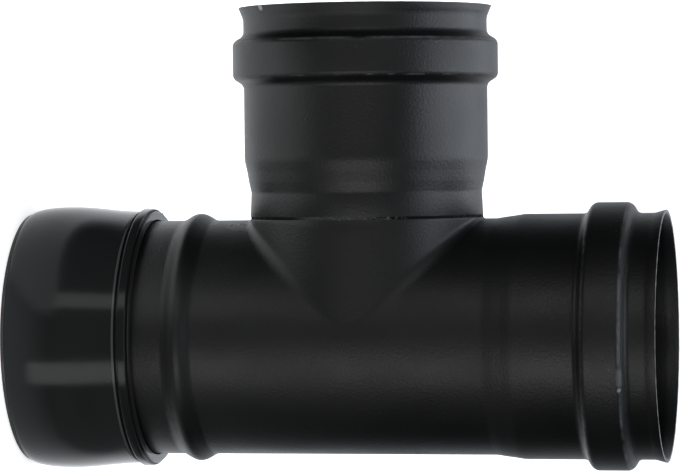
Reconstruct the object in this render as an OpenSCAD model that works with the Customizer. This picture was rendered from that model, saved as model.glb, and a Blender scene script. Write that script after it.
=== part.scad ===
// Flue pipe tee, 80 mm, single wall, with a push-on cap on its lower end.
// It stands on the cap as it is installed. The origin is the centre of the cap's flat end,
// +Z runs up the run pipe to its socket and +X runs out along the branch.

/* [Run pipe] */
// Outer diameter of the flue pipe
pipe_d = 80; // [70:1:110]
// Thickness of the sheet steel
sheet = 1.2; // [0.8:0.1:1.4]
// Length of the plain spigot, from its end to the foot of the stop bead
spigot_len = 43; // [40:1:60]
// Width of the stop bead at its foot
stop_bead_w = 12; // [8:1:16]
// Height of the stop bead above the pipe
stop_bead_h = 2.35; // [1:0.05:3]
// From the crest of the stop bead to the branch's axis
bead_to_branch = 57.9; // [55:0.1:90]
// From the branch's axis to the foot of the taper above it
branch_to_taper = 44.8; // [42:0.1:70]
// From the branch's axis to the mouth of the run's socket
branch_to_mouth = 102; // [92:1:140]

/* [Sockets] */
// Radial room round a pipe in a socket
socket_gap = 0.2; // [0.1:0.05:0.4]
// Length of the taper below the run's socket
run_taper = 9.4; // [6:0.1:10]
// Length of the taper below the branch's socket
branch_taper = 11; // [8:0.1:12]
// How far the seal groove stands out of the socket
groove_h = 3.7; // [2.5:0.1:5]
// Width of the groove's flat crest
groove_w = 12.3; // [9:0.1:14]
// From the mouth to the groove's crest
groove_lip = 11.8; // [11:0.1:14]
// Length of the groove's shoulder towards the mouth
lip_shoulder = 2.2; // [1.8:0.1:3.5]
// Length of the groove's shoulder towards the pipe
pipe_shoulder = 2.3; // [1.8:0.1:4]
// How far the mouth flares outwards
flare_h = 1.3; // [0.5:0.1:2.5]
// Length of the flare
flare_len = 3.8; // [2.5:0.1:5]
// Outer bend radius at the groove's folds
fold_r = 2.2; // [1.4:0.1:2.6]
// Bend radius at the foot of the flare
flare_bend_r = 5; // [3:0.5:8]
// Bend radius at both ends of the tapers
taper_bend_r = 16; // [5:1:25]

/* [Branch] */
// Outer diameter of the collar pulled out of the run
collar_d = 79.2; // [60:0.1:79.4]
// How much narrower in diameter the branch is at its waist
waist_in = 0.8; // [0:0.1:2]
// Length of the branch's neck between the weld seam and the taper
neck_len = 8.1; // [4:0.1:20]
// From the run's axis to the mouth of the branch
branch_reach = 112.2; // [100:0.1:150]
// Height of the weld seam above the crown of the run pipe
weld_rise = 0.4; // [0.3:0.1:2]
// Width of the weld seam
weld_w = 0.9; // [0.6:0.1:1.5]
// How deep the weld seam lies below the sheet's face
weld_undercut = 0.15; // [0.05:0.05:0.3]

/* [Collar fillet] */
// Fillet radius where the collar meets the crown of the run
crown_fillet = 1.2; // [0.8:0.1:2]
// Fillet radius at the sides of the run
side_fillet = 10; // [4:0.5:14]

/* [Socket seals] */
// Room between a seal and the sheet steel round it
seal_gap = 0.1; // [0.05:0.05:0.2]
// Room between the pressed-back lips and a pipe
lip_gap = 0.1; // [0.05:0.05:0.2]
// Number of lips of a socket seal
lip_count = 2; // [1:1:3]

/* [Cap] */
// Length of the cap's shell
cap_len = 39.2; // [36:0.1:44]
// Thickness of the cap's shell
cap_wall = 1.2; // [0.8:0.1:1.4]
// How far the barrel's widest part stands out of the pipe
barrel_out = 5; // [4.3:0.05:7]
// How far the shell's neck stands out of the pipe
neck_out = 3.5; // [2.7:0.05:4]
// How far the edge of the cap's end stands out of the pipe
end_out = 2.7; // [1:0.1:3.2]
// Length of the barrel's round shoulder
shoulder_len = 13.5; // [8:0.5:16]
// Length of the barrel's widest part, above that shoulder
barrel_flat = 1.5; // [0:0.1:6]
// Distance of the neck from the shell's mouth
neck_back = 2.4; // [1.5:0.1:4]
// How far the shell's mouth rolls outwards
mouth_roll = 0.3; // [0:0.05:0.6]
// Height of the edge of the cap's end
end_edge = 1; // [0.8:0.1:1.6]
// Depth of the fine groove above that edge
end_groove = 0.35; // [0.1:0.05:0.6]
// Height of the spigot's seat above the floor
seat_z = 10.7; // [8:0.1:14]

/* [Cap seal] */
// Room between the spigot and the cap's seal
slide_gap = 0.3; // [0.2:0.05:0.4]
// Room between the spigot's end and its seat
seat_gap = 0.1; // [0.05:0.05:0.2]
// Thickness of the seat's lip
seat_lip = 2; // [1.5:0.1:3]
// How far the seat's lip reaches in under the spigot's wall
seat_in = 0.4; // [0.2:0.1:2]
// Gap between the shell's mouth and the flange
flange_gap = 0.9; // [0.6:0.1:2]
// Thickness of the flange
flange_t = 5; // [4:0.1:5.6]
// Height of the flange's rounded lip
flange_lip = 3.2; // [2.4:0.1:3.4]
// Radius of the lip's lower edge
flange_round = 1; // [0.5:0.1:1.2]
// How far the flange steps in above its lip
flange_step = 0.7; // [0.4:0.1:1]
// How far the flange stands out of the pipe
flange_out = 4.4; // [3.8:0.1:6]
// Number of sealing ribs round the spigot
rib_count = 3; // [2:1:4]
// Height of a sealing rib
rib_h = 0.9; // [0.5:0.1:1]

/* [Hidden] */
$fn = 128;

// Small overlap that lets a cut run past the face that it opens
over = 1;
// Chords in one bend, in the stop bead's wave and in the cap's long barrel
bend_steps = 5;
bead_steps = 12;
barrel_steps = 36;
// Share of a straight stretch that one bend may take up
bend_room = 0.48;

// Radii of the pipe and of what is formed from it
pipe_r = pipe_d / 2;
bore_r = pipe_r + socket_gap;
socket_r = bore_r + sheet;
groove_r = socket_r + groove_h;
collar_r = collar_d / 2;
waist_r = collar_r - waist_in / 2;

// Heights along the run
spigot_z = seat_z + seat_gap;
bead_z = spigot_z + spigot_len + stop_bead_w / 2;
branch_z = bead_z + bead_to_branch;
taper_z = branch_z + branch_to_taper;
mouth_z = branch_z + branch_to_mouth;

// Distances along the branch
weld_x = pipe_r + weld_rise;
branch_x = weld_x + weld_w;
taper_x = branch_x + neck_len;

// Radii and heights of the cap
barrel_r = pipe_r + barrel_out;
neck_r = pipe_r + neck_out;
end_r = pipe_r + end_out;
flat_z = shoulder_len + barrel_flat;
neck_z = cap_len - neck_back;
sleeve_out = cap_wall + seal_gap;
sleeve_z = seat_z - seat_lip;
rib_r = pipe_r + slide_gap;
seat_r = pipe_r - sheet - seat_in;
flange_z = cap_len + flange_gap;
flange_r = pipe_r + flange_out;

function unit(v) = v / norm(v);

// The arc that rounds the corner b of the line a-b-c. It takes at most half of each side.
function corner_arc(a, b, c, r) =
    let (
        to_a = unit(a - b),
        to_c = unit(c - b),
        half = acos(to_a * to_c) / 2,
        room = bend_room * min(norm(a - b), norm(c - b)),
        tangent = min(r / tan(half), room),
        arc_r = tangent * tan(half),
        centre = b + unit(to_a + to_c) * arc_r / sin(half),
        from = b + to_a * tangent - centre,
        to = b + to_c * tangent - centre,
        start = atan2(from[1], from[0]),
        turn = atan2(from[0] * to[1] - from[1] * to[0], from * to)
    )
    [for (i = [0:bend_steps])
        let (angle = start + turn * i / bend_steps)
        centre + arc_r * [cos(angle), sin(angle)]];

// A line of [radius, height] points from stations of [height, radius, bend radius]
function bent_line(stations) =
    let (
        points = [for (s = stations) [s[1], s[0]]],
        last = len(stations) - 1
    )
    [points[0],
     for (i = [1:last - 1])
        each corner_arc(points[i - 1], points[i], points[i + 1], stations[i][2]),
     points[last]];

// The inner face of a sheet whose outer face follows the line upwards
function inner_line(line, thickness) =
    let (last = len(line) - 1)
    [for (i = [0:last])
        let (along = unit(line[min(i + 1, last)] - line[max(i - 1, 0)]))
        line[i] + thickness * [-along[1], along[0]]];

// Stations of a socket: taper, plain bore, seal groove, neck and flared mouth
function socket_stations(foot, taper, mouth, from_r) = [
    [foot, from_r, taper_bend_r],
    [foot + taper, socket_r, taper_bend_r],
    [mouth - groove_lip - groove_w - pipe_shoulder, socket_r, fold_r],
    [mouth - groove_lip - groove_w, groove_r, fold_r],
    [mouth - groove_lip, groove_r, fold_r],
    [mouth - groove_lip + lip_shoulder, socket_r, fold_r],
    [mouth - flare_len, socket_r, flare_bend_r],
    [mouth, socket_r + flare_h, 0]];

// The stop bead, a smooth wave round the pipe
stop_bead_line = [for (i = [0:bead_steps])
    let (s = 2 * i / bead_steps - 1)
    [pipe_r + stop_bead_h * (1 + cos(180 * s)) / 2, bead_z + s * stop_bead_w / 2]];

run_socket_line = bent_line(concat(
    [[branch_z, pipe_r, 0]],
    socket_stations(taper_z, run_taper, mouth_z, pipe_r)));
run_line = concat([[pipe_r, spigot_z]], stop_bead_line, run_socket_line);
branch_line = bent_line(concat(
    [[branch_x, collar_r, 0]],
    socket_stations(taper_x, branch_taper, branch_reach, waist_r)));

// Radius of the cap's barrel at a height: a round shoulder, a soft S down to the neck, a rolled mouth
function barrel_at(z) =
    z < shoulder_len
        ? end_r + (barrel_r - end_r) * sqrt(1 - pow(1 - (z - end_edge) / (shoulder_len - end_edge), 2))
    : z < flat_z
        ? barrel_r
    : z < neck_z
        ? neck_r + (barrel_r - neck_r) * (1 + cos(180 * (z - flat_z) / (neck_z - flat_z))) / 2
    : neck_r + mouth_roll * pow((z - neck_z) / neck_back, 2);

// The barrel's line between two heights, moved inwards
function barrel_line(from, to, inwards) =
    [for (i = [0:barrel_steps])
        let (z = from + (to - from) * i / barrel_steps)
        [barrel_at(z) - inwards, z]];

// Fillet between collar and run: a ball that rolls round the collar and grows from crown to side.
// It runs out at this angle from the crown, in so many sections of so many chords
fillet_end = 78;
fillet_steps = 26;
fillet_chords = 6;
// The ball dips this far into both pipes, and further where the fillet runs out
fillet_sink = 0.04;
run_out_sink = 0.35;
run_out_power = 12;
// Depth of the fillet's root below the pipes' faces
fillet_root = sheet / 2;

function fillet_section(angle) =
    let (
        share = pow(sin(angle), 2),
        ball_r = crown_fillet + (side_fillet - crown_fillet) * share,
        sink = fillet_sink + run_out_sink * pow(abs(angle) / fillet_end, run_out_power),
        across = collar_r + ball_r - sink,
        y = across * sin(angle),
        x = sqrt(pow(pipe_r + ball_r - sink, 2) - y * y),
        centre = [x, y, across * cos(angle)],
        to_collar = [0, -sin(angle), -cos(angle)],
        to_run = -unit([x, y, 0]),
        opening = acos(to_collar * to_run),
        root_r = collar_r - fillet_root,
        root_y = root_r * sin(angle),
        root_x = sqrt(pow(pipe_r - fillet_root, 2) - root_y * root_y)
    )
    [[root_x, root_y, root_r * cos(angle)],
     for (i = [0:fillet_chords])
        let (t = i / fillet_chords)
        centre + ball_r * (sin((1 - t) * opening) * to_collar + sin(t * opening) * to_run) / sin(opening)];

module collar_fillet() {
    ring = fillet_chords + 2;
    sections = [for (i = [0:fillet_steps]) fillet_section(fillet_end * (2 * i / fillet_steps - 1))];
    points = [for (s = sections) each s];
    last = fillet_steps * ring;
    sides = [for (i = [0:fillet_steps - 1], j = [0:ring - 1])
        let (
            a = i * ring + j,
            b = i * ring + (j + 1) % ring,
            c = a + ring,
            d = b + ring
        )
        each [[a, b, d], [a, d, c]]];
    near_end = [for (j = [1:ring - 2]) [0, j + 1, j]];
    far_end = [for (j = [1:ring - 2]) [last, last + j, last + j + 1]];
    polyhedron(points, concat(sides, near_end, far_end));
}

// Puts what is drawn along +Z onto the branch's axis
module on_branch() {
    translate([0, 0, branch_z])
        rotate([0, 90, 0])
            children();
}

// A solid of revolution that fills the line to its axis
module turned_solid(line) {
    last = len(line) - 1;
    rotate_extrude()
        polygon(concat([[0, line[0][1]]], line, [[0, line[last][1]]]));
}

// The hollow under a line, run past both of its ends
module turned_hollow(line) {
    last = len(line) - 1;
    below = [line[0][0], line[0][1] - over];
    above = [line[last][0], line[last][1] + over];
    turned_solid(concat([below], line, [above]));
}

module run_pipe() {
    color("#232526")
        difference() {
            union() {
                turned_solid(run_line);
                on_branch()
                    cylinder(r = collar_r, h = weld_x + over);
                for (side = [0, 1])
                    translate([0, 0, branch_z])
                        mirror([0, 0, side])
                            collar_fillet();
            }
            turned_hollow(inner_line(run_line, sheet));
            on_branch()
                cylinder(r = collar_r - sheet, h = weld_x + 2 * over);
            on_branch()
                translate([0, 0, weld_x])
                    cylinder(r = collar_r + crown_fillet + over, h = 2 * over);
        }
}

module branch_socket() {
    color("#2b2d2f")
        on_branch()
            difference() {
                turned_solid(branch_line);
                turned_hollow(inner_line(branch_line, sheet));
            }
}

// The seam fills the root between collar and branch and stays a little below their faces
module branch_weld() {
    color("#161718")
        on_branch()
            translate([0, 0, weld_x])
                rotate_extrude()
                    translate([collar_r - sheet, 0])
                        square([sheet - weld_undercut, weld_w]);
}

// A lip seal as it sits in a groove, with its lips pressed back by a pipe
module socket_seal() {
    back_r = groove_r - sheet - seal_gap;
    tip_r = pipe_r + lip_gap;
    root_r = (tip_r + back_r) / 2;
    half_w = groove_w / 2 - sheet;
    pitch = 2 * half_w / lip_count;
    lip_tip = pitch / 5;
    lips = [for (i = [0:lip_count - 1])
        let (top = half_w - i * pitch)
        each [[root_r, top],
              [tip_r, top - pitch / 2],
              [tip_r, top - pitch / 2 - lip_tip],
              [root_r, top - pitch / 2 - 2 * lip_tip]]];
    rotate_extrude()
        polygon(concat([[back_r, -half_w], [back_r, half_w]], lips, [[root_r, -half_w]]));
}

module run_seal() {
    color("#1c1d1d")
        translate([0, 0, mouth_z - groove_lip - groove_w / 2])
            socket_seal();
}

module branch_seal() {
    color("#1c1d1d")
        on_branch()
            translate([0, 0, branch_reach - groove_lip - groove_w / 2])
                socket_seal();
}

module cap_shell() {
    edge_line = bent_line([
        [0, 0, 0],
        [0, end_r, end_edge / 2],
        [end_edge - end_groove / 2, end_r, 0]]);
    groove_point = [end_r - end_groove, end_edge];
    outer = concat(edge_line, [groove_point], barrel_line(end_edge + end_groove / 2, cap_len, 0));
    inner = barrel_line(end_edge + cap_wall, cap_len, cap_wall);
    color("#1b1c1c")
        difference() {
            turned_solid(outer);
            intersection() {
                turned_hollow(inner);
                translate([0, 0, cap_wall])
                    cylinder(r = barrel_r, h = cap_len + over);
            }
        }
}

module cap_seal() {
    sleeve_in_r = rib_r + rib_h;
    pitch = (cap_len - seat_z) / rib_count;
    ribs = [for (i = [rib_count - 1:-1:0])
        let (middle = seat_z + (i + 0.5) * pitch)
        each [[sleeve_in_r, middle + rib_h], [rib_r, middle], [sleeve_in_r, middle - rib_h]]];
    sleeve = barrel_line(sleeve_z, neck_z, sleeve_out);
    throat_r = neck_r - sleeve_out;
    step_r = flange_r - flange_step;
    lip_z = flange_z + flange_lip;
    flange = concat(
        [[throat_r, flange_z]],
        corner_arc([throat_r, flange_z], [flange_r, flange_z], [flange_r, lip_z], flange_round),
        [[flange_r, lip_z],
         [step_r, lip_z],
         [step_r, flange_z + flange_t],
         [rib_r, flange_z + flange_t],
         [sleeve_in_r, flange_z]]);
    seat = [[sleeve_in_r, seat_z], [seat_r, seat_z], [seat_r, sleeve_z]];
    color("#242628")
        rotate_extrude()
            polygon(concat(sleeve, flange, ribs, seat));
}

run_pipe();
branch_socket();
branch_weld();
run_seal();
branch_seal();
cap_shell();
cap_seal();
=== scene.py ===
"""Flue pipe tee with a push-on cap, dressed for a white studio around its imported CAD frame.

Lengths are metres in the CAD frame: the cap stands on the floor at the origin, +Z runs up the run pipe
to its socket and +X runs out along the branch.
"""

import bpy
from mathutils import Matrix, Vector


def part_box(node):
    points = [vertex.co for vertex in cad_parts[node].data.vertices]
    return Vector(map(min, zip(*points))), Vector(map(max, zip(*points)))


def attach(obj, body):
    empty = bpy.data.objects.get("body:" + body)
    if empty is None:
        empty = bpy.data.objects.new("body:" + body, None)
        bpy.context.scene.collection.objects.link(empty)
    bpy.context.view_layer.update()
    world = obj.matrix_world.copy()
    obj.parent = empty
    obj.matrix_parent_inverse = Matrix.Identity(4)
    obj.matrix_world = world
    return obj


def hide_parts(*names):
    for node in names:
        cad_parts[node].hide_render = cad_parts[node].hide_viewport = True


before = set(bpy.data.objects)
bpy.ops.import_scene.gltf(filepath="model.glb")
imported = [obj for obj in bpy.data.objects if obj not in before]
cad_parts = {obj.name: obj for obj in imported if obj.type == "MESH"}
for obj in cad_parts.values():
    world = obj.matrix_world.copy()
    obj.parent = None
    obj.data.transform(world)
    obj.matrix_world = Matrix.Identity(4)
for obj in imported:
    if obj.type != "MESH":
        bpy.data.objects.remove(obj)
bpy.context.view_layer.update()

import math

import bmesh
import bpy
from bpy.props import FloatProperty, FloatVectorProperty, IntProperty, PointerProperty
from bpy.types import Operator, Panel, PropertyGroup
from mathutils import Matrix, Vector

bl_info = {
    "name": "Flue Pipe Tee",
    "version": (1, 0, 0),
    "blender": (4, 5, 0),
    "location": "3D View > Sidebar > Flue Tee",
    "description": "Models a painted sheet-steel flue tee, its seals, its cap and a white studio",
    "category": "Add Mesh",
}

MM = 0.001

# Corners of the CAD nodes that the sizes below start from
RUN_LOW, RUN_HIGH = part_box("run_pipe")
BRANCH_LOW, BRANCH_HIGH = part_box("branch_socket")
WELD_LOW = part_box("branch_weld")[0]
CAP_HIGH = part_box("cap_shell")[1]
RING_LOW, RING_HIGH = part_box("cap_seal")


def linear(hex_colour):
    """Linear RGBA of an sRGB hex colour."""
    shares = [int(hex_colour[i:i + 2], 16) / 255 for i in (1, 3, 5)]
    return [s / 12.92 if s <= 0.04045 else ((s + 0.055) / 1.055) ** 2.4 for s in shares] + [1.0]


def length(name, description, default):
    """A length property in metres."""
    return FloatProperty(name=name, description=description, default=default, unit="LENGTH", precision=5)


def colour(name, description, hex_colour):
    """A colour property, written as sRGB hex."""
    return FloatVectorProperty(name=name, description=description, default=linear(hex_colour),
                               subtype="COLOR", size=4, min=0.0, max=1.0)


class FlueTeeSizes(PropertyGroup):
    """Sizes of the tee and its cap."""

    pipe_r: length("Pipe radius", "Outer radius of the flue pipe", 40 * MM)
    sheet: length("Sheet", "Thickness of the sheet steel", 1.2 * MM)
    spigot_z: length("Spigot end", "Height of the spigot's lower end", RUN_LOW.z)
    bead_z: length("Stop bead", "Height of the stop bead's crest", 59.8 * MM)
    bead_w: length("Bead width", "Width of the stop bead at its foot", 12 * MM)
    bead_h: length("Bead height", "Height of the stop bead above the pipe", 2.35 * MM)
    mouth_z: length("Run mouth", "Height of the run's mouth", RUN_HIGH.z)
    branch_z: length("Branch axis", "Height of the branch's axis", (BRANCH_LOW.z + BRANCH_HIGH.z) / 2)
    run_taper_z: length("Run taper foot", "Height of the foot of the run's taper", 162.5 * MM)
    run_taper: length("Run taper", "Length of the run's taper", 9.4 * MM)
    socket_r: length("Socket radius", "Outer radius of the sockets", 41.4 * MM)
    groove_r: length("Groove radius", "Outer radius of the seal grooves", RUN_HIGH.y)
    groove_w: length("Groove crest", "Width of a groove's flat crest", 12.3 * MM)
    groove_lip: length("Groove place", "From a mouth to the groove's crest", 11.8 * MM)
    lip_shoulder: length("Lip shoulder", "Length of the groove's shoulder towards the mouth", 2.2 * MM)
    pipe_shoulder: length("Pipe shoulder", "Length of the groove's shoulder towards the pipe", 2.3 * MM)
    run_flare: length("Run flare", "How far the run's mouth flares outwards", 1.0 * MM)
    branch_flare: length("Branch flare", "How far the branch's mouth flares outwards", 1.6 * MM)
    flare_len: length("Flare length", "Length of a mouth's flare", 3.8 * MM)
    fold_r: length("Fold radius", "Bend radius at the folds of a groove", 2.4 * MM)
    flare_bend_r: length("Flare bend", "Bend radius at the foot of a flare", 5 * MM)
    taper_bend_r: length("Taper bend", "Bend radius at the ends of a taper", 10 * MM)
    taper_step_r: length("Taper step", "Bend radius at the steps of a taper", 9 * MM)
    waist_bend_r: length("Waist bend", "Bend radius at the branch's waist", 4 * MM)
    collar_r: length("Collar radius", "Outer radius of the collar pulled out of the run", 39.6 * MM)
    weld_x: length("Weld", "Distance of the weld seam from the run's axis", WELD_LOW.x)
    branch_x: length("Branch foot", "Distance of the branch's foot from the run's axis", BRANCH_LOW.x)
    waist_x: length("Waist", "Distance of the branch's waist from the run's axis", 49.4 * MM)
    waist_r: length("Waist radius", "Outer radius of the branch at its waist", 39.2 * MM)
    branch_taper: length("Branch taper", "Length of the branch's taper", 11 * MM)
    reach: length("Branch reach", "Distance of the branch's mouth from the run's axis", BRANCH_HIGH.x)
    crown_fillet: length("Crown fillet", "Fillet radius of the collar at the crown of the run", 1.2 * MM)
    side_fillet: length("Side fillet", "Fillet radius of the collar at the sides of the run", 10 * MM)
    cap_len: length("Cap length", "Length of the cap's shell", CAP_HIGH.z)
    cap_wall: length("Cap wall", "Thickness of the cap's shell", 1.2 * MM)
    barrel_r: length("Barrel radius", "Radius of the cap at its widest", CAP_HIGH.x)
    neck_r: length("Neck radius", "Radius of the cap's shell at its mouth", 43.35 * MM)
    cap_end_r: length("End radius", "Radius of the edge of the cap's end", 42.7 * MM)
    shoulder_z: length("Shoulder", "Height of the top of the barrel's shoulder", 13.5 * MM)
    flat_z: length("Widest part", "Height of the top of the barrel's widest part", 15 * MM)
    end_edge: length("End edge", "Height of the edge of the cap's end", 1.35 * MM)
    end_groove: length("End groove", "Depth of the fine groove above that edge", 0.35 * MM)
    ring_r: length("Ring radius", "Radius of the flange of the cap's seal", RING_HIGH.x)
    ring_z: length("Ring", "Height of the lower face of that flange", 40.5 * MM)
    ring_top: length("Ring top", "Height of the upper face of that flange", RING_HIGH.z - 0.8 * MM)
    ring_lip: length("Ring lip", "Height of the flange's rounded lip", 2.8 * MM)
    ring_round: length("Ring round", "Radius of the lower edge of that lip", 0.35 * MM)
    ring_in: length("Ring step", "How far the flange steps in above its lip", 1.2 * MM)
    around: IntProperty(name="Steps around", description="Faces round a turned piece", default=160, min=32)


class FlueTeeFinishes(PropertyGroup):
    """Colours of the finishes."""

    paint: colour("Stove paint", "Matte paint of the pipe", "#0c0d0d")
    paint_worn: colour("Rubbed paint", "Paint burnished along the folds", "#55585a")
    speck: colour("Fleck", "Pale flecks where the paint has chipped", "#8a8d8f")
    bare: colour("Bare steel", "Sheet laid bare where the paint is knocked off", "#c4c6c6")
    # Weld: near black, as painted shade in the crevice of the seam and in small pits of the paint
    weld: colour("Weld", "Painted weld seam", "#040404")
    cap: colour("Cap", "Smooth paint of the cap", "#272828")
    # Cap edge: painted highlight along the cap's edges and painted bounce light towards its end
    cap_edge_painted_light: colour("Cap edge", "Paint rubbed thin at the edges of the cap", "#5c5f61")
    # Dust: real dust specks on the cap, and on the seal's flange a painted reflection of the white
    # surroundings at its two sides
    dust_and_painted_reflection: colour("Dust", "Dust on the cap and on the flange of its seal", "#8d9091")
    silicone: colour("Silicone", "Silicone of the seals", "#202121")
    gasket: colour("Dry silicone", "Rough skin of the silicone above the flange's lip", "#060606")
    floor: colour("Floor", "Pale studio floor", "#fafafa")


class FlueTeeStudio(PropertyGroup):
    """Camera and lamps."""

    camera: FloatVectorProperty(name="Camera", description="Place of the camera", subtype="TRANSLATION",
                                unit="LENGTH", default=(0.05898, 1.17038, 0.33325))
    aim: FloatVectorProperty(name="Aim", description="Point that the camera looks at", subtype="TRANSLATION",
                             unit="LENGTH", default=(0.03435, 0.00105, 0.10847))
    roll: FloatProperty(name="Roll", description="Turn of the picture about the line of sight",
                        subtype="ANGLE", default=math.radians(-0.405))
    lens: FloatProperty(name="Lens", description="Focal length in millimetres", default=185.1)
    left_lamp: FloatProperty(name="Left lamp", default=4.2,
                             description="Power of the softbox on the branch's side, in watts")
    right_lamp: FloatProperty(name="Right lamp", description="Power of the softbox opposite it, in watts",
                              default=7.5)
    top_lamp: FloatProperty(name="Top lamp", description="Power of the top softbox in watts", default=18.5)
    top_tint: FloatVectorProperty(name="Top tint", description="Light colour of the top softbox",
                                  subtype="COLOR", default=linear("#eef5ff")[:3])
    surround: FloatProperty(name="Surround", description="Strength of the white room behind the tee",
                            default=1.0)


# Outlines and meshes

BEND_STEPS = 6
BEAD_STEPS = 20
BARREL_STEPS = 44
# The most of a straight that a bend at its end may take
BEND_ROOM = 0.48
MERGE = 0.002 * MM
# A mouth's rim: how deep its points lie, and how far they stray once they are trimmed square
RIM_DEPTH = 0.8 * MM
RIM_ROOM = 0.06 * MM
RIM_SEED = 4
# Width of a broken edge, and the angles from which an edge is broken or shaded sharp
SHEET_EDGE = 0.15 * MM
CAP_EDGE = 0.3 * MM
EDGE_ANGLE = math.radians(50)
SHARP_ANGLE = math.radians(35)
# Steps of a taper, as shares of its length and of its rise
TAPER_STEPS = ((0.33, 0.36), (0.66, 0.63))


def deselect():
    """Leave nothing selected, so that the next operator acts on its own piece alone."""
    bpy.ops.object.select_all(action="DESELECT")


def choose(*pieces):
    """Select these pieces alone, with the first of them active."""
    deselect()
    for piece in pieces:
        piece.select_set(True)
    bpy.context.view_layer.objects.active = pieces[0]


def first_point(name, point):
    """A new piece of one vertex, merged from a small plane and moved to its place, in edit mode."""
    deselect()
    bpy.ops.mesh.primitive_plane_add(size=MM)
    piece = bpy.context.object
    piece.name = piece.data.name = name
    bpy.ops.object.mode_set(mode="EDIT")
    bpy.ops.mesh.merge(type="CENTER")
    bpy.ops.transform.translate(value=point)
    return piece


def select_points(piece, wanted):
    """In edit mode, select the vertices whose place passes a test."""
    mesh = bmesh.from_edit_mesh(piece.data)
    for vertex in mesh.verts:
        vertex.select = wanted(vertex.co)
    mesh.select_flush_mode()
    bmesh.update_edit_mesh(piece.data)


def draw_outline(name, stations, place):
    """Draw half a section: extrude a vertex from station to station, then bevel it to its bends.

    A station is (distance along the axis, radius, bend radius)."""
    points = [Vector(place(along, radius)) for along, radius, _ in stations]
    piece = first_point(name, points[0])
    for a, b in zip(points, points[1:]):
        bpy.ops.mesh.extrude_vertices_move(TRANSFORM_OT_translate={"value": b - a})
    for i in range(1, len(points) - 1):
        bend = stations[i][2]
        if bend:
            back, on = points[i - 1] - points[i], points[i + 1] - points[i]
            reach = bend * math.tan((math.pi - back.angle(on)) / 2)
            reach = min(reach, BEND_ROOM * min(back.length, on.length))
            select_points(piece, lambda co: (co - points[i]).length < MERGE)
            bpy.ops.mesh.bevel(offset=reach, segments=BEND_STEPS, affect="VERTICES")
    return piece


def close_and_face_out(piece, threshold, axis=(0, 0, 1), centre=(0, 0, 0)):
    """In edit mode, merge the seams and turn every face outwards: the face furthest from the axis decides."""
    bpy.ops.mesh.select_all(action="SELECT")
    bpy.ops.mesh.remove_doubles(threshold=threshold)
    bpy.ops.mesh.normals_make_consistent(inside=False)

    def away(face):
        out = face.calc_center_median() - Vector(centre)
        return out - out.project(Vector(axis))

    mesh = bmesh.from_edit_mesh(piece.data)
    furthest = max(mesh.faces, key=lambda face: away(face).length_squared)
    if furthest.normal.dot(away(furthest)) < 0:
        bpy.ops.mesh.flip_normals()
    bpy.ops.object.mode_set(mode="OBJECT")


def apply_modifier(piece, kind, **settings):
    """Add one modifier to a piece and apply it."""
    choose(piece)
    modifier = piece.modifiers.new(kind.title(), kind)
    for key, value in settings.items():
        setattr(modifier, key, value)
    bpy.ops.object.modifier_apply(modifier=modifier.name)


def thicken(piece, wall, edge, rim=None):
    """Give a sheet its wall, inwards, trim its rim square and break the edges.

    The rim is given as its plane: a point on the axis, and the scale that flattens points onto it."""
    apply_modifier(piece, "SOLIDIFY", thickness=wall, offset=-1.0, use_even_offset=True)
    if rim:
        point, flat = Vector(rim[0]), Vector(rim[1])
        outwards = Vector((1, 1, 1)) - flat
        bpy.ops.object.mode_set(mode="EDIT")
        select_points(piece, lambda co: (co - point).dot(outwards) > -RIM_DEPTH)
        bpy.ops.transform.resize(value=flat, center_override=point - RIM_ROOM * outwards)
        bpy.ops.transform.vertex_random(offset=RIM_ROOM, seed=RIM_SEED)
        bpy.ops.object.mode_set(mode="OBJECT")
    apply_modifier(piece, "BEVEL", width=edge, segments=2, limit_method="ANGLE",
                   angle_limit=EDGE_ANGLE, harden_normals=False)


def settle(piece, body, node, material):
    """Shade a finished piece, give it its material and its body, and hide the CAD node that it stands for."""
    choose(piece)
    bpy.ops.object.shade_smooth_by_angle(angle=SHARP_ANGLE)
    piece.data.materials.clear()
    piece.data.materials.append(material)
    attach(piece, body)
    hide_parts(node)


def along_run(along, radius):
    """A point of the run's outline."""
    return (radius, 0.0, along)


def along_branch(along, radius):
    """A point of the branch's outline."""
    return (along, 0.0, bpy.context.scene.flue_tee_sizes.branch_z + radius)


def spin(name, stations, branch=False, finer=1):
    """Draw half a section, turn it once about the axis of the run or the branch, and close its seam."""
    s = bpy.context.scene.flue_tee_sizes
    axis, centre = ((1, 0, 0), (0, 0, s.branch_z)) if branch else ((0, 0, 1), (0, 0, 0))
    piece = draw_outline(name, stations, along_branch if branch else along_run)
    bpy.ops.mesh.select_all(action="SELECT")
    bpy.ops.mesh.spin(steps=finer * s.around, angle=math.tau, center=centre, axis=axis)
    close_and_face_out(piece, MERGE, axis, centre)
    return piece


def socket_stations(s, foot, taper, mouth, foot_r, foot_bend, flare):
    """Outline of a socket: taper in three easy steps, plain bore, seal groove, neck and flared mouth."""
    crest = mouth - s.groove_lip
    rise = s.socket_r - foot_r
    return [
        (foot, foot_r, foot_bend),
        *[(foot + along * taper, foot_r + up * rise, s.taper_step_r) for along, up in TAPER_STEPS],
        (foot + taper, s.socket_r, s.taper_bend_r),
        (crest - s.groove_w - s.pipe_shoulder, s.socket_r, s.fold_r),
        (crest - s.groove_w, s.groove_r, s.fold_r),
        (crest, s.groove_r, s.fold_r),
        (crest + s.lip_shoulder, s.socket_r, s.fold_r),
        (mouth - s.flare_len, s.socket_r, s.flare_bend_r),
        (mouth - s.sheet * math.sin(math.atan2(flare, s.flare_len)), s.socket_r + flare, 0.0),
    ]


def mark(piece, measure):
    """Write each point's distance from its mouth as an attribute: it places worn paint, and painted light on
    the cap.
    """
    values = [measure(vertex.co) for vertex in piece.data.vertices]
    piece.data.attributes.new("from_mouth", "FLOAT", "POINT").data.foreach_set("value", values)


# The saddle where the collar is pulled out of the run

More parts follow.
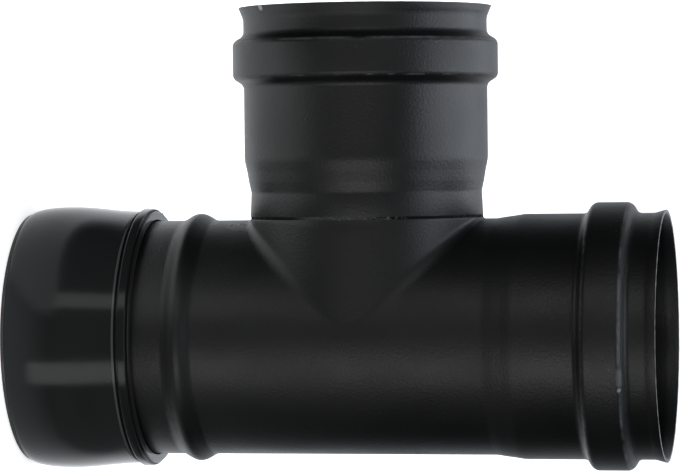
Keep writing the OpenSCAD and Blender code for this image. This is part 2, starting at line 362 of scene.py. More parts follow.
# Window cut in the run for the saddle: steps round the run and rows up it, from its middle to its edge
WINDOW_STEPS = 49
WINDOW_HALF = 43 * MM
WINDOW_ROWS = 20
COLLAR_ROWS = 8
FILLET_ROWS = 9
SPOKE_ROWS = 12
SPOKE_CROWDING = 1.35
# On a straight of the collar shorter than this, its rows go on into this share of the fillet
SHORT_STRAIGHT = 4 * MM
FILLET_SHARE = 0.45
HALVINGS = 40
SADDLE_MERGE = 0.01 * MM


def saddle_section(s, turn):
    """Points down the collar and round its fillet onto the run, at one turn about the branch.

    The fillet is a ball that rolls round the collar and grows from the crown to the side."""
    ball = s.crown_fillet + (s.side_fillet - s.crown_fillet) * math.sin(turn) ** 2
    across = s.collar_r + ball
    out_y, out_z = math.sin(turn), math.cos(turn)
    y, z = across * out_y, across * out_z
    x = math.sqrt((s.pipe_r + ball) ** 2 - y * y)
    centre = Vector((x, y, z))
    to_collar = Vector((0, -out_y, -out_z))
    to_run = -Vector((x, y, 0)).normalized()
    opening = to_collar.angle(to_run)

    def on_ball(t):
        mix = math.sin((1 - t) * opening) * to_collar + math.sin(t * opening) * to_run
        return centre + ball * mix / math.sin(opening)

    start, end = 0.0, 1.0
    if x > s.weld_x:
        for _ in range(HALVINGS):
            middle = (start + end) / 2
            start, end = (middle, end) if on_ball(middle).x > s.weld_x else (start, middle)
    straight = max(0.0, s.weld_x - x)
    arc = ball * opening * (1 - start)
    spare = max(0.0, 1 - straight / SHORT_STRAIGHT)
    split = straight + FILLET_SHARE * spare * arc

    def at(distance):
        if distance <= straight:
            return Vector((s.weld_x - distance, s.collar_r * out_y, s.collar_r * out_z))
        return on_ball(start + (1 - start) * (distance - straight) / arc)

    first = [at(split * i / COLLAR_ROWS) for i in range(COLLAR_ROWS)]
    second = [at(split + (straight + arc - split) * i / FILLET_ROWS) for i in range(FILLET_ROWS + 1)]
    return first + second


def window_edge(step, step_angle):
    """Point of a quarter of the window's edge: angle about the run, and height above the branch."""
    if step <= WINDOW_STEPS:
        return step * step_angle, WINDOW_HALF
    return WINDOW_STEPS * step_angle, WINDOW_HALF * (1 - (step - WINDOW_STEPS) / WINDOW_ROWS)


def saddle_lines(s):
    """Lines of points from the weld to the edge of the window, all the way round the branch."""
    quarter = WINDOW_STEPS + WINDOW_ROWS
    step_angle = math.tau / s.around
    lines = []
    for k in range(4 * quarter + 1):
        part, step = divmod(k, quarter)
        if part % 2:
            step = quarter - step
        side = 1 if part < 2 else -1
        rise = 1 if part in (0, 3, 4) else -1
        if part == 4:
            side, step = 1, 0
        section = saddle_section(s, math.pi / 2 * step / quarter)
        foot = section[-1]
        foot_angle = math.atan2(foot.y, foot.x)
        edge_angle, edge_z = window_edge(step, step_angle)
        for i in range(1, SPOKE_ROWS + 1):
            t = (i / SPOKE_ROWS) ** SPOKE_CROWDING
            angle = foot_angle + (edge_angle - foot_angle) * t
            height = foot.z + (edge_z - foot.z) * t
            section.append(Vector((s.pipe_r * math.cos(angle), s.pipe_r * math.sin(angle), height)))
        lines.append([Vector((p.x, side * p.y, s.branch_z + rise * p.z)) for p in section])
    return lines


def saddle_patch(s):
    """The saddle: a grid whose points are moved onto the collar, its fillet and the run."""
    lines = saddle_lines(s)
    columns, rows = len(lines) - 1, len(lines[0]) - 1
    deselect()
    bpy.ops.mesh.primitive_grid_add(x_subdivisions=columns, y_subdivisions=rows, size=MM)
    patch = bpy.context.object
    patch.name = patch.data.name = "saddle"
    for row in range(rows + 1):
        for column in range(columns + 1):
            patch.data.vertices[row * (columns + 1) + column].co = lines[column][row]
    return patch


# Materials

# Colour sockets of a Mix node
MIX_FROM, MIX_TO, MIX_RESULT = 6, 7, 2

# Places of the small marks in the paint of the pipe, in millimetres
SPATTER = (38.9, 8.7, 78.1)
SPATTER_REACH = 9
PAINTED_PIT_SHADES = ((38.4, 11.2, 72.9), (38.8, 9.7, 76.2), (38.5, 11.0, 77.4), (39.1, 8.4, 79.5), (37.1, 15.0, 79.8),
        (36.3, 16.7, 77.1), (35.3, 18.8, 78.2), (38.3, 11.5, 150.1))
PIT_STRETCH = (1, 0.3, 1)
RIM_CHIP = (111.3, 30.6, 87.9)
FOLD_WEAR = (-11.5, 43.3, 208.0)
FOLD_CHIP = (-15.6, 42.0, 207.9)

# Lit and faint ovals of the paper, as centre and radii
LIT_BEHIND = ((0.0, -0.6), (0.28, 0.64))
LIT_BESIDE = ((0.08, -0.1), (0.07, 0.25))
FAINT = ((-0.22, 0.0), (0.17, 0.25))


def per_mm(size):
    """Texture scale, per metre, of a feature of this size in millimetres."""
    return 1000.0 / size


def add_node(tree, kind, inputs=None, **settings):
    """Add a node with its settings, and give its inputs their values or links.

    An input is a value, an output to link, or a node whose first output is linked."""
    made = tree.nodes.new(kind)
    for key, value in settings.items():
        setattr(made, key, value)
    for key, source in (inputs or {}).items():
        if isinstance(source, bpy.types.Node):
            source = source.outputs[0]
        if isinstance(source, bpy.types.NodeSocket):
            tree.links.new(source, made.inputs[key])
        else:
            made.inputs[key].default_value = source
    return made


def new_material(name):
    """An empty node material, and its Object coordinates."""
    material = bpy.data.materials.new(name)
    material.use_nodes = True
    material.node_tree.nodes.clear()
    place = add_node(material.node_tree, "ShaderNodeTexCoord").outputs["Object"]
    return material, material.node_tree, place


def band(tree, value, middle, half, soft, most=1.0):
    """Mask: the most within half of a middle value, fading to 0 over the soft width beyond it."""
    off = add_node(tree, "ShaderNodeMath", {0: value, 1: middle}, operation="SUBTRACT")
    away = add_node(tree, "ShaderNodeMath", {0: off}, operation="ABSOLUTE")
    return add_node(tree, "ShaderNodeMapRange",
                    {"Value": away, "From Min": half + soft, "From Max": half, "To Max": most})


def patches(tree, place, size, low, high):
    """Mask of irregular patches of a size in millimetres: 0 below one level of a noise, 1 above another."""
    field = add_node(tree, "ShaderNodeTexNoise",
                     {"Vector": place, "Scale": per_mm(size), "Detail": 4.0, "Roughness": 0.6})
    return add_node(tree, "ShaderNodeMapRange", {"Value": field, "From Min": low, "From Max": high})


def near(tree, place, point, reach, most=1.0, stretch=(1, 1, 1)):
    """Mask: the most round a point and 0 beyond a reach from it, both in millimetres.

    A stretch below 1 makes the mark longer that way."""
    flat = add_node(tree, "ShaderNodeVectorMath", {0: place, 1: stretch}, operation="MULTIPLY")
    away = add_node(tree, "ShaderNodeVectorMath", {0: flat, 1: Vector(point) * Vector(stretch) * MM},
                    operation="DISTANCE")
    return add_node(tree, "ShaderNodeMapRange", {"Value": away.outputs["Value"], "From Min": reach * MM,
                                                 "From Max": 0.6 * reach * MM, "To Max": most})


def overlap(tree, *masks):
    """Mask of the places that masks share."""
    both = masks[0]
    for mask in masks[1:]:
        both = add_node(tree, "ShaderNodeMath", {0: both, 1: mask}, operation="MULTIPLY")
    return both


def lay(tree, film, tone, *masks):
    """Lay a tone over a film where all the masks meet."""
    over = add_node(tree, "ShaderNodeMix", data_type="RGBA",
                    inputs={"Factor": overlap(tree, *masks), MIX_FROM: film, MIX_TO: tone})
    return over.outputs[MIX_RESULT]


def paler(tone, times):
    """The same tone, this many times as bright."""
    return [times * share for share in tone[:3]] + [1.0]


def surface(material, film, relief, strength, depth, inputs):
    """End a material: its film, the strength and depth of its relief, and its other inputs."""
    tree = material.node_tree
    bump = add_node(tree, "ShaderNodeBump", {"Height": relief, "Strength": strength, "Distance": depth})
    shader = add_node(tree, "ShaderNodeBsdfPrincipled", {"Base Color": film, "Normal": bump, **inputs})
    add_node(tree, "ShaderNodeOutputMaterial", {"Surface": shader})
    return material


def stove_paint(finishes):
    """Heat-resistant stove enamel, sprayed matte over sheet steel.

    A dry, grainy film: grit breaks up the highlights and glints in them, and the paint is rubbed thin along
    the folds of the grooves and the edges of the mouths."""
    s = bpy.context.scene.flue_tee_sizes
    material, tree, place = new_material("stove_enamel_matte_black")
    cloud = add_node(tree, "ShaderNodeTexNoise", {"Vector": place, "Scale": per_mm(30), "Detail": 3.0})
    film = lay(tree, finishes.paint, paler(finishes.paint, 1.25), cloud)

    # Rubbed lines: a groove's fold towards the mouth, its fold towards the pipe, and the rim
    from_mouth = add_node(tree, "ShaderNodeAttribute", attribute_name="from_mouth").outputs["Fac"]
    lip_fold, pipe_fold = s.groove_lip, s.groove_lip + s.groove_w
    for middle, half, soft, size, low, high in (
            (lip_fold + 0.1 * MM, 0.1 * MM, 0.5 * MM, 7, 0.36, 0.62),
            (pipe_fold - 0.1 * MM, 0.05 * MM, 0.4 * MM, 5, 0.5, 0.72),
            (0.0, 0.12 * MM, 0.1 * MM, 4, 0.35, 0.6)):
        film = lay(tree, film, finishes.paint_worn, band(tree, from_mouth, middle, half, soft),
                   patches(tree, place, size, low, high))

    # Single marks: a worn spot and flecks on the fold, scorched paint with drops of spatter, chips, and
    # painted shade in small pits
    film = lay(tree, film, finishes.paint_worn, near(tree, place, FOLD_WEAR, 3.6),
               band(tree, from_mouth, lip_fold, 0.5 * MM, 0.6 * MM))
    film = lay(tree, film, finishes.speck, band(tree, from_mouth, lip_fold + 0.2 * MM, 1.2 * MM, 2.5 * MM),
               patches(tree, place, 0.9, 0.68, 0.72))
    film = lay(tree, film, finishes.paint_worn, near(tree, place, SPATTER, SPATTER_REACH, 0.7))
    drops = overlap(tree, near(tree, place, SPATTER, SPATTER_REACH), patches(tree, place, 1.3, 0.58, 0.66))
    film = lay(tree, film, finishes.speck, drops)
    film = lay(tree, film, finishes.speck, near(tree, place, FOLD_CHIP, 0.9))
    # Painted shade in small pits, in the weld's near black
    for pit in PAINTED_PIT_SHADES:
        film = lay(tree, film, finishes.weld, near(tree, place, pit, 0.8, 1.0, PIT_STRETCH))
    film = lay(tree, film, finishes.bare, near(tree, place, RIM_CHIP, 1.3))

    # Real grit is finer than the picture shows, so it is drawn as coarse as 0.85 mm
    grit = add_node(tree, "ShaderNodeTexNoise",
                    {"Vector": place, "Scale": per_mm(0.85), "Detail": 2.0, "Roughness": 0.6})
    lumps = add_node(tree, "ShaderNodeMath", {0: drops, 1: 2.0, 2: grit}, operation="MULTIPLY_ADD")
    rough = add_node(tree, "ShaderNodeMapRange",
                     {"Value": cloud, "From Min": 0.3, "From Max": 0.7, "To Min": 0.41, "To Max": 0.51})
    return surface(material, film, lumps, 1.0, 0.1 * MM,
                   {"Roughness": rough, "IOR": 1.5, "Specular IOR Level": 0.5})


def weld_paint(finishes):
    """Stove enamel over a weld seam: a near-black root as painted shade of its crevice, filled to the sheet
    in the middle of its two sides.

    Flecks on the filled part and above it break up the dark line."""
    s = bpy.context.scene.flue_tee_sizes
    material, tree, place = new_material("stove_enamel_over_weld")
    lumps = add_node(tree, "ShaderNodeTexNoise", {"Vector": place, "Scale": per_mm(0.9), "Detail": 4.0})
    height = add_node(tree, "ShaderNodeSeparateXYZ", {"Vector": place}).outputs["Z"]
    # The root's near black is painted shade of the seam's crevice
    film = lay(tree, finishes.weld, finishes.paint_worn,
               band(tree, height, s.branch_z - 4 * MM, 10 * MM, 5 * MM, 0.55))
    for off_axis, half, size in ((-4 * MM, 7 * MM, 0.9), (12 * MM, 5 * MM, 1.4)):
        film = lay(tree, film, finishes.paint_worn, band(tree, height, s.branch_z + off_axis, half, 3 * MM),
                   patches(tree, place, size, 0.5, 0.58))
    return surface(material, film, lumps, 0.8, 0.08 * MM,
                   {"Roughness": 0.7, "IOR": 1.5, "Specular IOR Level": 0.15})


def cap_paint(finishes):
    """Smooth black enamel on the cap: a satin film with soft lamp reflections.

    Its edges carry a painted highlight, it is lighter towards its end with painted bounce light, and a little
    dusty."""
    s = bpy.context.scene.flue_tee_sizes
    material, tree, place = new_material("satin_enamel_black")
    smear = add_node(tree, "ShaderNodeTexNoise", {"Vector": place, "Scale": per_mm(14), "Detail": 4.0})
    rough = add_node(tree, "ShaderNodeMapRange",
                     {"Value": smear, "From Min": 0.3, "From Max": 0.7, "To Min": 0.13, "To Max": 0.18})
    peel = add_node(tree, "ShaderNodeTexNoise", {"Vector": place, "Scale": per_mm(1.6), "Detail": 2.0})
    specks = add_node(tree, "ShaderNodeTexVoronoi", {"Vector": place, "Scale": per_mm(6)})
    chance = add_node(tree, "ShaderNodeSeparateColor", {"Color": specks.outputs["Color"]})
    rare = add_node(tree, "ShaderNodeMath", {0: chance.outputs["Green"], 1: 0.8}, operation="GREATER_THAN")
    dot = add_node(tree, "ShaderNodeMapRange",
                   {"Value": specks.outputs["Distance"], "From Min": 0.045, "From Max": 0.02})
    film = lay(tree, finishes.cap, finishes.dust_and_painted_reflection, dot, rare)
    from_mouth = add_node(tree, "ShaderNodeAttribute", attribute_name="from_mouth").outputs["Fac"]
    # Painted bounce light fading up from the end, then painted highlights along the mouth's edge and the
    # end's edge
    for middle, half, soft, most in ((s.cap_len, 3 * MM, 14 * MM, 0.25), (0.0, 0.6 * MM, 0.2 * MM, 1.0),
                                     (s.cap_len, s.end_edge - 0.2 * MM, 0.2 * MM, 1.0)):
        film = lay(tree, film, finishes.cap_edge_painted_light, band(tree, from_mouth, middle, half, soft, most))
    return surface(material, film, peel, 0.2, 0.01 * MM,
                   {"Roughness": rough, "IOR": 1.5, "Specular IOR Level": 0.18})


def silicone(finishes, name, roughness, dry=None):
    """Moulded black silicone: soft satin, with a faint bloom that shows at grazing light.

    Between two given heights its skin is left rough by the mould, and looks dry and darker. At the two sides,
    round the upper of those heights, its face is laid pale in the dust tone as a painted reflection of the
    white surroundings."""
    material, tree, place = new_material(name)
    bloom = add_node(tree, "ShaderNodeTexNoise", {"Vector": place, "Scale": per_mm(9), "Detail": 4.0})
    film = lay(tree, finishes.silicone, paler(finishes.silicone, 1.3), bloom)
    # The mould's skin is too fine to show, so it is drawn as coarse as 0.8 mm
    skin = add_node(tree, "ShaderNodeTexNoise", {"Vector": place, "Scale": per_mm(0.8), "Detail": 2.0})
    if dry:
        low, high = dry
        parts = add_node(tree, "ShaderNodeSeparateXYZ", {"Vector": place})
        rough = band(tree, parts.outputs["Z"], (low + high) / 2, (high - low) / 2, 0.05 * MM)
        film = lay(tree, film, finishes.gasket, rough)
        # Painted reflection: the flange's upper face at the two sides is laid pale in the dust tone
        film = lay(tree, film, finishes.dust_and_painted_reflection, band(tree, parts.outputs["Z"], high, 0.8 * MM, 0.1 * MM),
                   band(tree, parts.outputs["Y"], 0.0, 14 * MM, 8 * MM, 0.8))
        roughness = add_node(tree, "ShaderNodeMapRange", {"Value": rough, "To Min": roughness, "To Max": 0.8})
    return surface(material, film, skin, 0.3, 0.015 * MM,
                   {"Roughness": roughness, "IOR": 1.43, "Specular IOR Level": 0.24, "Sheen Weight": 0.1,
                    "Sheen Roughness": 0.3})


def shared(name, maker):
    """A material that several pieces share, made once."""
    return bpy.data.materials.get(name) or maker(bpy.context.scene.flue_tee_finishes)


def out_of_oval(tree, place, centre, radii):
    """Distance from an oval's centre on the floor: 1 on its edge and more beyond it."""
    move = [-c / r for c, r in zip(centre, radii)]
    pool = add_node(tree, "ShaderNodeMapping",
                    {"Vector": place, "Location": (*move, 0.0), "Scale": (1 / radii[0], 1 / radii[1], 1.0)})
    return add_node(tree, "ShaderNodeVectorMath", {0: pool}, operation="LENGTH").outputs["Value"]


def floor_paper(finishes):
    """Matte white photo paper. The eye sees plain white all over, with only the soft shadow of the tee.

    The lit paper lies under and behind the tee, and its gloss shows that. In front the paper is open to the
    softboxes, and on the side away from the branch it is faint."""
    material, tree, place = new_material("photo_paper_white")
    ray = add_node(tree, "ShaderNodeLightPath").outputs
    behind, beside, shade = [out_of_oval(tree, place, *oval) for oval in (LIT_BEHIND, LIT_BESIDE, FAINT)]
    away = add_node(tree, "ShaderNodeMath", {0: behind, 1: beside}, operation="MINIMUM")
    open_air = add_node(tree, "ShaderNodeMapRange", {"Value": away, "From Min": 0.9, "From Max": 1.12},
                        interpolation_type="SMOOTHSTEP")
    faint = add_node(tree, "ShaderNodeMapRange",
                     {"Value": shade, "From Min": 0.7, "From Max": 1.1, "To Min": 0.87, "To Max": 1.0})
    dim = add_node(tree, "ShaderNodeMath", {0: open_air, 1: faint}, operation="MINIMUM")
    other = add_node(tree, "ShaderNodeMath", {0: 1.0, 1: ray["Is Camera Ray"]}, operation="SUBTRACT")
    unseen = overlap(tree, dim, other)
    mirrored = add_node(tree, "ShaderNodeMath", {0: ray["Is Glossy Ray"], 1: ray["Is Transmission Ray"]},
                        operation="MAXIMUM")
    seen = add_node(tree, "ShaderNodeMath", {0: ray["Is Camera Ray"], 1: mirrored}, operation="MAXIMUM")
    far = add_node(tree, "ShaderNodeVectorMath", {0: place}, operation="LENGTH")
    white = add_node(tree, "ShaderNodeMapRange", {"Value": far.outputs["Value"], "From Min": 0.15,
                                                  "From Max": 0.6, "To Min": 0.8, "To Max": 1.0})
    lift = overlap(tree, white, seen)
    glow = add_node(tree, "ShaderNodeEmission", {"Color": finishes.floor, "Strength": lift})
    matte = add_node(tree, "ShaderNodeBsdfDiffuse", {"Color": finishes.floor})
    paper = add_node(tree, "ShaderNodeAddShader", {0: glow, 1: matte})
    clear = add_node(tree, "ShaderNodeBsdfTransparent")
    shown = add_node(tree, "ShaderNodeMixShader", {0: unseen, 1: paper, 2: clear})
    add_node(tree, "ShaderNodeOutputMaterial", {"Surface": shown})
    return material


def white_room(strength):
    """A backdrop that is white behind the tee in a dim room, on plain white for the eye."""
    world = bpy.data.worlds.new("white_room")
    world.use_nodes = True
    tree = world.node_tree
    tree.nodes.clear()
    ray = add_node(tree, "ShaderNodeLightPath")
    direction = add_node(tree, "ShaderNodeTexCoord")
    parts = add_node(tree, "ShaderNodeSeparateXYZ", {"Vector": direction.outputs["Generated"]})
    way = add_node(tree, "ShaderNodeMapRange",
                   {"Value": parts.outputs["Y"], "From Min": -1.0, "From Max": 1.0})
    ramp = add_node(tree, "ShaderNodeValToRGB", {"Fac": way})

    # Levels on the way from behind the tee to behind the camera
    stops = ramp.color_ramp.elements
    stops[0].position, stops[0].color = 0.04, [strength * share for share in linear("#f3f8ff")]
    stops[1].position, stops[1].color = 0.20, (0.02, 0.02, 0.02, 1)
    for position, level in ((0.86, 0.02), (0.95, 0.125)):
        stops.new(position).color = (level, level, level, 1)
    room = add_node(tree, "ShaderNodeBackground", {"Color": ramp, "Strength": 1.0})
    plain = add_node(tree, "ShaderNodeBackground", {"Color": (1, 1, 1, 1), "Strength": 1.0})
    both = add_node(tree, "ShaderNodeMixShader", {0: ray.outputs["Is Camera Ray"], 1: room, 2: plain})
    add_node(tree, "ShaderNodeOutputWorld", {"Surface": both})
    return world


# Operators

# The weld: its depth below the collar, lap onto the sheets and rounded edges, and how much finer it is drawn
WELD_SINK, WELD_LAP, WELD_ROUND, WELD_FINER = 0.25 * MM, 0.3 * MM, 0.2 * MM, 4
# Turns about the branch, in degrees, where the seam is raised; how far, over what reach and round what core
RAISED_TURNS = (0, 88, 101, 114, 180, 250, 305)
RAISED_BY, RAISED_REACH, RAISED_CORE = 0.2 * MM, 9 * MM, 0.7 * MM
# Where the seam is smooth: depth below the branch's axis, half length, fade, and what is left of the lumps
SMOOTH_OFF, SMOOTH_HALF, SMOOTH_FADE, SMOOTH_LEFT = 7 * MM, 11 * MM, 6 * MM, 0.2
LUMP_SIZE, LUMP_HEIGHT, LUMP_MIDDLE = 1.4 * MM, 0.7 * MM, 0.52

# Seals: room to what they lie against, ribs of the cap's seal, and reach of its foot past the spigot
SEAL_ROOM, RIB_ROOM, RIB_COUNT, RIB_HEIGHT, FOOT_REACH = 0.1 * MM, 0.3 * MM, 3, 0.9 * MM, 0.4 * MM
# Flange of the cap's seal: lean of its lip, roundings of lip, step and top, and where its rough skin ends
LIP_LEAN, LIP_ROUND, STEP_ROUND, TOP_ROUND, SKIN_END = 0.35 * MM, 0.6 * MM, 0.1 * MM, 0.5 * MM, 0.4 * MM
# Moulding nub on the flange: its turn, radius, length and depth below the upper face
NUB_TURN = math.radians(-13)
NUB_RADIUS, NUB_LENGTH, NUB_DEPTH = 0.6 * MM, 1.4 * MM, 0.5 * MM

# Studio: the floor and its room below the cap, the camera's sensor in millimetres and how far it sees
FLOOR_SIZE, FLOOR_ROOM = 14, 0.02 * MM
SENSOR_WIDTH, CLIP_END = 36, 50
WHITE = (1, 1, 1)


class FLUETEE_OT_run_pipe(Operator):
    """Model the run pipe, with its stop bead, its pulled collar and its socket"""

    bl_idname = "flue_tee.run_pipe"
    bl_label = "Run Pipe"

    def execute(self, context):
        s = context.scene.flue_tee_sizes
        bead = []
        for i in range(BEAD_STEPS + 1):
            share = 2 * i / BEAD_STEPS - 1
            rise = s.bead_h * (1 + math.cos(math.pi * share)) / 2
            bead.append((s.bead_z + share * s.bead_w / 2, s.pipe_r + rise, 0.0))
        window = [(s.branch_z + WINDOW_HALF * (i / WINDOW_ROWS - 1), s.pipe_r, 0.0)
                  for i in range(2 * WINDOW_ROWS + 1)]
        socket = socket_stations(s, s.run_taper_z, s.run_taper, s.mouth_z, s.pipe_r, s.taper_bend_r,
                                 s.run_flare)
        pipe = spin("run_pipe_sheet", [(s.spigot_z, s.pipe_r, 0.0)] + bead + window + socket)

        half = WINDOW_STEPS * math.tau / s.around
        bpy.ops.object.mode_set(mode="EDIT")
        mesh = bmesh.from_edit_mesh(pipe.data)
        for face in mesh.faces:
            middle = face.calc_center_median()
            face.select = (abs(middle.z - s.branch_z) < WINDOW_HALF
                           and abs(math.atan2(middle.y, middle.x)) < half)
        bmesh.update_edit_mesh(pipe.data)
        bpy.ops.mesh.delete(type="FACE")
        bpy.ops.object.mode_set(mode="OBJECT")

        choose(pipe, saddle_patch(s))
        bpy.ops.object.join()
        bpy.ops.object.mode_set(mode="EDIT")
        close_and_face_out(pipe, SADDLE_MERGE)
        thicken(pipe, s.sheet, SHEET_EDGE, ((0, 0, s.mouth_z), (1, 1, 0)))
        mark(pipe, lambda co: s.mouth_z - co.z)
        settle(pipe, "tee", "run_pipe", shared("stove_enamel_matte_black", stove_paint))
        return {"FINISHED"}


class FLUETEE_OT_branch_socket(Operator):
    """Model the branch, with its neck, taper, seal groove and flared mouth"""

    bl_idname = "flue_tee.branch_socket"
    bl_label = "Branch Socket"

    def execute(self, context):
        s = context.scene.flue_tee_sizes
        stations = [(s.branch_x, s.collar_r, 0.0)]
        stations += socket_stations(s, s.waist_x, s.branch_taper, s.reach, s.waist_r, s.waist_bend_r,
                                    s.branch_flare)
        branch = spin("branch_socket_sheet", stations, branch=True)
        thicken(branch, s.sheet, SHEET_EDGE, ((s.reach, 0, s.branch_z), (0, 1, 1)))
        mark(branch, lambda co: s.reach - co.x)
        settle(branch, "tee", "branch_socket", shared("stove_enamel_matte_black", stove_paint))
        return {"FINISHED"}


class FLUETEE_OT_branch_weld(Operator):
    """Model the weld seam between the collar and the branch"""

    bl_idname = "flue_tee.branch_weld"
    bl_label = "Branch Weld"

    def execute(self, context):
        s = context.scene.flue_tee_sizes
        inner, outer = s.collar_r - s.sheet, s.collar_r - WELD_SINK
        low, high = s.weld_x - WELD_LAP, s.branch_x + WELD_LAP
        stations = [(low, inner, 0.0), (low, outer, WELD_ROUND), (high, outer, WELD_ROUND),
                    (high, inner, 0.0), (low, inner, 0.0)]
        weld = spin("branch_weld_seam", stations, branch=True, finer=WELD_FINER)
        axis = Vector((0, 0, s.branch_z))
        bpy.ops.object.mode_set(mode="EDIT")
        for turn in RAISED_TURNS:
            top = Vector((0, math.sin(math.radians(turn)), math.cos(math.radians(turn)))) * outer + axis
            select_points(weld, lambda co: math.hypot(co.y - top.y, co.z - top.z) < RAISED_CORE)
            bpy.ops.transform.translate(value=(top - axis).normalized() * RAISED_BY,
                                        use_proportional_edit=True, proportional_edit_falloff="SMOOTH",
                                        proportional_size=RAISED_REACH)
        bpy.ops.object.mode_set(mode="OBJECT")
        rough = weld.vertex_groups.new(name="rough_seam")
        for vertex in weld.data.vertices:
            beyond = (abs(vertex.co.z - s.branch_z + SMOOTH_OFF) - SMOOTH_HALF) / SMOOTH_FADE
            rough.add([vertex.index], min(1.0, max(SMOOTH_LEFT, beyond)), "REPLACE")
        lumps = bpy.data.textures.new("weld_lumps", "CLOUDS")
        lumps.noise_scale = LUMP_SIZE
        apply_modifier(weld, "DISPLACE", texture=lumps, texture_coords="LOCAL", strength=LUMP_HEIGHT,
                       mid_level=LUMP_MIDDLE, vertex_group=rough.name)
        settle(weld, "tee", "branch_weld", shared("stove_enamel_over_weld", weld_paint))
        return {"FINISHED"}


class FLUETEE_OT_socket_seals(Operator):
    """Model the lip seals in the grooves of the run and the branch"""

    bl_idname = "flue_tee.socket_seals"
    bl_label = "Socket Seals"

    def execute(self, context):
        s = context.scene.flue_tee_sizes
        back = s.groove_r - s.sheet - SEAL_ROOM
        tip = s.pipe_r + SEAL_ROOM
        root = (tip + back) / 2
        half = s.groove_w / 2 - s.sheet
        soft = 0.25 * MM
        for node, mouth, branch in (("run_seal", s.mouth_z, False), ("branch_seal", s.reach, True)):
            middle = mouth - s.groove_lip - s.groove_w / 2
            stations = [(middle - half, root, 0.0), (middle - half, back, soft), (middle + half, back, soft)]
            # Two lips, each from its root to its tip and back
            for top in (half, 0.0):
                stations += [(middle + top - share * half, radius, soft) for share, radius in
                             ((0.0, root), (0.5, tip), (0.7, tip), (0.9, root))]
            stations.append((middle - half, root, 0.0))
            seal = spin(node + "_lips", stations, branch)
            settle(seal, "tee", node,
                   shared("silicone_matte", lambda f: silicone(f, "silicone_matte", 0.6)))
        return {"FINISHED"}


class FLUETEE_OT_cap_shell(Operator):
    """Model the barrel-shaped cap with its closed end"""

    bl_idname = "flue_tee.cap_shell"
    bl_label = "Cap Shell"

    def execute(self, context):
        s = context.scene.flue_tee_sizes

        def barrel(z):
            if z < s.shoulder_z:
                share = 1 - (z - s.end_edge) / (s.shoulder_z - s.end_edge)
                return s.cap_end_r + (s.barrel_r - s.cap_end_r) * math.sqrt(max(0.0, 1 - share * share))
            if z < s.flat_z:
                return s.barrel_r
            share = (z - s.flat_z) / (s.cap_len - s.flat_z)
            return s.neck_r + (s.barrel_r - s.neck_r) * (1 + math.cos(math.pi * share)) / 2

        stations = [(0.0, 0.0, 0.0), (0.0, s.cap_end_r, s.end_edge / 4),
                    (s.end_edge - s.end_groove / 2, s.cap_end_r, 0.0),
                    (s.end_edge, s.cap_end_r - s.end_groove, 0.0)]
        # The steps up the barrel are closest at the end, where it is most curved
        start = s.end_edge + s.end_groove / 2
        for i in range(BARREL_STEPS + 1):
            share = i / BARREL_STEPS
            z = start + (s.cap_len - start) * share * (0.5 + 0.5 * share)
            stations.append((z, barrel(z), 0.0))
        cap = spin("cap_barrel", stations)
        thicken(cap, s.cap_wall, CAP_EDGE)
        mark(cap, lambda co: s.cap_len - co.z)
        settle(cap, "cap", "cap_shell", shared("satin_enamel_black", cap_paint))
        return {"FINISHED"}


class FLUETEE_OT_cap_seal(Operator):
    """Model the silicone sleeve of the cap, with its sealing ribs and its stepped flange"""

    bl_idname = "flue_tee.cap_seal"
    bl_label = "Cap Seal"

    def execute(self, context):
        s = context.scene.flue_tee_sizes
        seat = s.spigot_z - SEAL_ROOM
        rib = s.pipe_r + RIB_ROOM
        sleeve = rib + RIB_HEIGHT
        throat = s.neck_r - s.cap_wall - SEAL_ROOM
        foot = s.pipe_r - s.sheet - FOOT_REACH
        soft = 0.2 * MM
        step = s.ring_r - s.ring_in
        lip = s.ring_z + s.ring_lip
        stations = [
            (RING_LOW.z, foot, 0.0),
            (RING_LOW.z, throat, soft),
            (s.ring_z, throat, soft),
            (s.ring_z, s.ring_r, s.ring_round),
            (lip, s.ring_r - LIP_LEAN, LIP_ROUND),
            (lip, step, STEP_ROUND),
            (s.ring_top, step, TOP_ROUND),
            (s.ring_top, rib, soft),
            (s.ring_z, sleeve, soft),
        ]
        pitch = (s.cap_len - seat) / RIB_COUNT
        for i in reversed(range(RIB_COUNT)):
            middle = seat + (i + 0.5) * pitch
            stations += [(middle + RIB_HEIGHT, sleeve, soft), (middle, rib, soft),
                         (middle - RIB_HEIGHT, sleeve, soft)]
        stations += [(seat, sleeve, soft), (seat, foot, soft), (RING_LOW.z, foot, 0.0)]
        ring = spin("cap_seal_sleeve", stations)
        out = Vector((math.cos(NUB_TURN), math.sin(NUB_TURN), 0))
        deselect()
        bpy.ops.mesh.primitive_cone_add(vertices=16, radius1=NUB_RADIUS, depth=NUB_LENGTH,
                                        location=step * out + Vector((0, 0, s.ring_top - NUB_DEPTH)),
                                        rotation=out.to_track_quat("Z", "Y").to_euler())
        nub = context.object
        bpy.ops.object.transform_apply(location=True, rotation=True, scale=True)
        choose(ring, nub)
        bpy.ops.object.join()
        dry = (lip, s.ring_top - SKIN_END)
        settle(ring, "cap", "cap_seal",
               shared("silicone_satin", lambda f: silicone(f, "silicone_satin", 0.16, dry)))
        return {"FINISHED"}


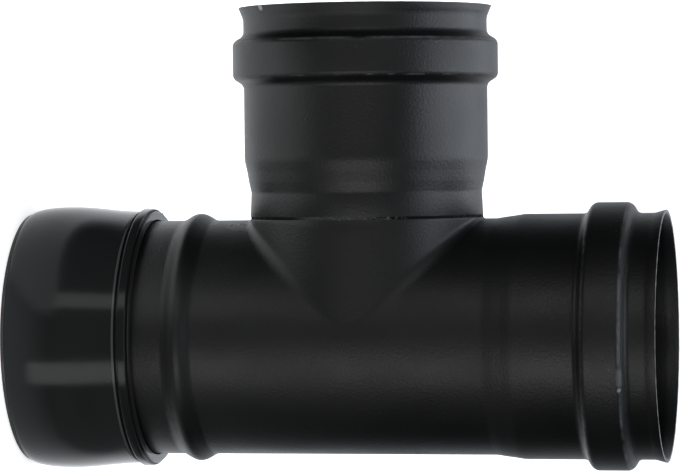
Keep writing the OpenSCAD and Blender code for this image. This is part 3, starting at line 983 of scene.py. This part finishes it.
class FLUETEE_OT_studio(Operator):
    """Set up the white floor, the softboxes, the room and the camera"""

    bl_idname = "flue_tee.studio"
    bl_label = "Studio"

    def execute(self, context):
        scene = context.scene
        studio = scene.flue_tee_studio
        deselect()
        bpy.ops.mesh.primitive_plane_add(size=FLOOR_SIZE, location=(0, 0, -FLOOR_ROOM))
        floor = context.object
        floor.name = "studio_floor"
        floor.data.materials.append(floor_paper(scene.flue_tee_finishes))

        place, aim = Vector(studio.camera), Vector(studio.aim)
        for name, direction, distance, width, height, power, tint in (
                ("softbox_left", (0.552, 0.827, 0.1), 1.7, 0.39, 1.6, studio.left_lamp, WHITE),
                ("softbox_right", (-0.495, 0.869, 0.0), 1.7, 0.56, 1.6, studio.right_lamp, WHITE),
                ("softbox_top", (0.0, -0.2, 1.0), 1.3, 1.0, 2.0, studio.top_lamp, studio.top_tint)):
            away = Vector(direction).normalized()
            bpy.ops.object.light_add(type="AREA", location=aim + distance * away)
            lamp = context.object
            lamp.name = lamp.data.name = name
            lamp.data.shape = "RECTANGLE"
            lamp.data.size, lamp.data.size_y = width, height
            lamp.data.energy, lamp.data.color = power, tint
            lamp.rotation_euler = away.to_track_quat("Z", "Y").to_euler()
            lamp.visible_camera = False

        scene.world = white_room(studio.surround)
        scene.view_settings.view_transform = "Standard"

        back = (place - aim).normalized()
        right = (Vector((0, 0, 1)) - back.z * back).normalized()
        right.rotate(Matrix.Rotation(studio.roll, 3, back))
        turn = Matrix((right, back.cross(right), back)).transposed()
        bpy.ops.object.camera_add(location=place, rotation=turn.to_euler())
        camera = context.object
        camera.name = "photo_camera"
        camera.data.sensor_width = SENSOR_WIDTH
        camera.data.lens = studio.lens
        camera.data.clip_end = CLIP_END
        scene.camera = camera
        return {"FINISHED"}


OPERATORS = (
    FLUETEE_OT_run_pipe,
    FLUETEE_OT_branch_socket,
    FLUETEE_OT_branch_weld,
    FLUETEE_OT_socket_seals,
    FLUETEE_OT_cap_shell,
    FLUETEE_OT_cap_seal,
    FLUETEE_OT_studio,
)


class FLUETEE_PT_panel(Panel):
    """Pieces, sizes and finishes of the flue tee"""

    bl_idname = "FLUETEE_PT_panel"
    bl_label = "Flue Tee"
    bl_space_type = "VIEW_3D"
    bl_region_type = "UI"
    bl_category = "Flue Tee"

    def draw(self, context):
        for operator in OPERATORS:
            self.layout.operator(operator.bl_idname)
        for name in GROUPS:
            group = getattr(context.scene, name)
            box = self.layout.box()
            for key in group.__annotations__:
                box.prop(group, key)


GROUPS = {
    "flue_tee_sizes": FlueTeeSizes,
    "flue_tee_finishes": FlueTeeFinishes,
    "flue_tee_studio": FlueTeeStudio,
}

CLASSES = (*GROUPS.values(), *OPERATORS, FLUETEE_PT_panel)


def register():
    for kind in CLASSES:
        bpy.utils.register_class(kind)
    for name, group in GROUPS.items():
        setattr(bpy.types.Scene, name, PointerProperty(type=group))


def unregister():
    for name in GROUPS:
        delattr(bpy.types.Scene, name)
    for kind in reversed(CLASSES):
        bpy.utils.unregister_class(kind)


def main():
    register()
    bpy.ops.flue_tee.run_pipe()
    bpy.ops.flue_tee.branch_socket()
    bpy.ops.flue_tee.branch_weld()
    bpy.ops.flue_tee.socket_seals()
    bpy.ops.flue_tee.cap_shell()
    bpy.ops.flue_tee.cap_seal()
    bpy.ops.flue_tee.studio()


if __name__ == "__main__":
    main()
